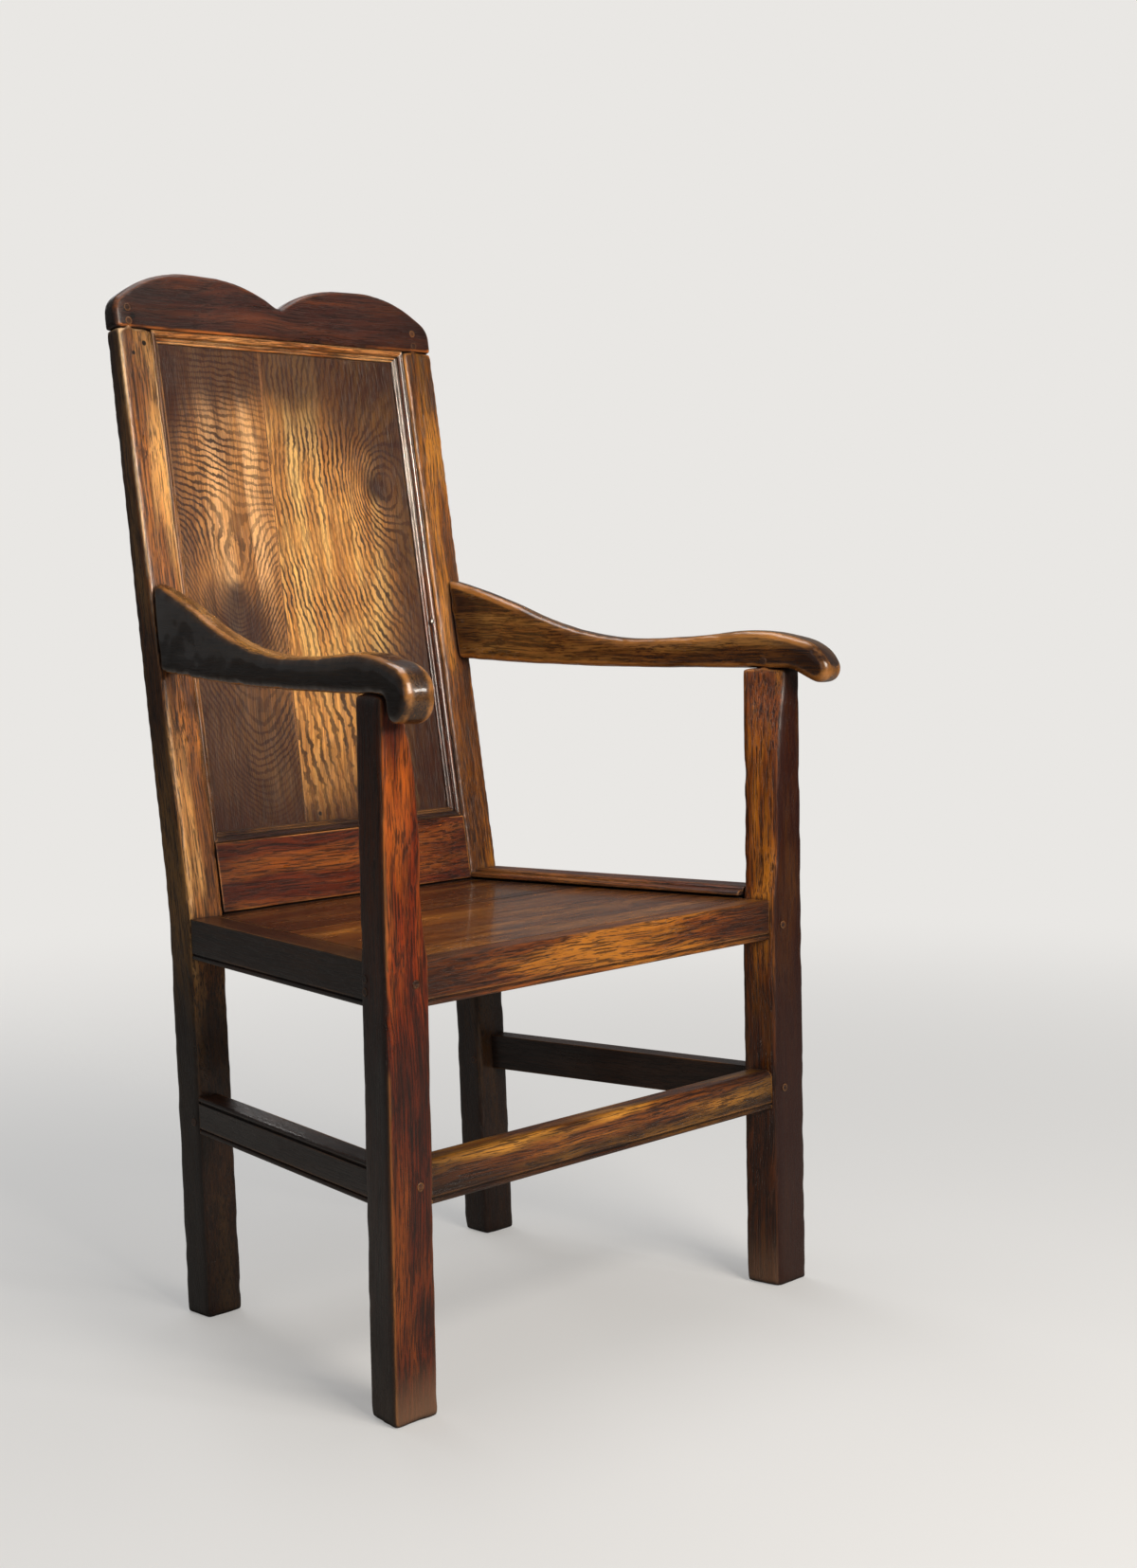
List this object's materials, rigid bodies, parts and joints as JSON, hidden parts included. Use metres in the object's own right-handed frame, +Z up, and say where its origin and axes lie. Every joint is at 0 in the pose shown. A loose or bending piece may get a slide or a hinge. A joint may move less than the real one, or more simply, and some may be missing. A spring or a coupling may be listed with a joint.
{
  "type": "armchair",
  "caption": "Joined oak open armchair with a double-arched crest, a moulded panel back, scrolled arms and a flat board seat on squared pegged legs.",
  "frame": {"origin": "bottom centre of the bounding box, on the floor", "axes": "+Z up, -Y to the front of the chair, +X to the chair's right as seen from the front"},
  "size_m": [0.6332, 0.5948, 1.1339],
  "materials": {
    "oak_frame": "waxed, polished",
    "oak_arms": "waxed, polished by hands",
    "oak_seat": "waxed, glossy",
    "oak_panel": "waxed, satin",
    "oak_moulding": "waxed, glossy",
    "oak_pegs": "waxed, satin"
  },
  "bodies": {
    "root": {"front_post_left": "oak_frame", "front_post_right": "oak_frame", "rear_stile_left": "oak_frame", "rear_stile_right": "oak_frame", "front_seat_rail": "oak_frame", "side_seat_rail_left": "oak_frame", "side_seat_rail_right": "oak_frame", "rear_seat_rail": "oak_frame", "front_stretcher": "oak_frame", "side_stretcher_left": "oak_frame", "side_stretcher_right": "oak_frame", "back_lower_rail": "oak_frame", "crest_rail": "oak_frame", "arm_left": "oak_arms", "arm_right": "oak_arms", "seat_board_front": "oak_seat", "seat_board_rear": "oak_seat", "back_panel_board_left": "oak_panel", "back_panel_board_right": "oak_panel", "panel_moulding_top": "oak_moulding", "panel_moulding_bottom": "oak_moulding", "panel_moulding_left": "oak_moulding", "panel_moulding_right": "oak_moulding", "seat_border_right": "oak_moulding", "pegs_seat_rails": "oak_pegs", "pegs_stretchers": "oak_pegs", "pegs_arms": "oak_pegs", "pegs_crest": "oak_pegs"}
  },
  "joints": []
}
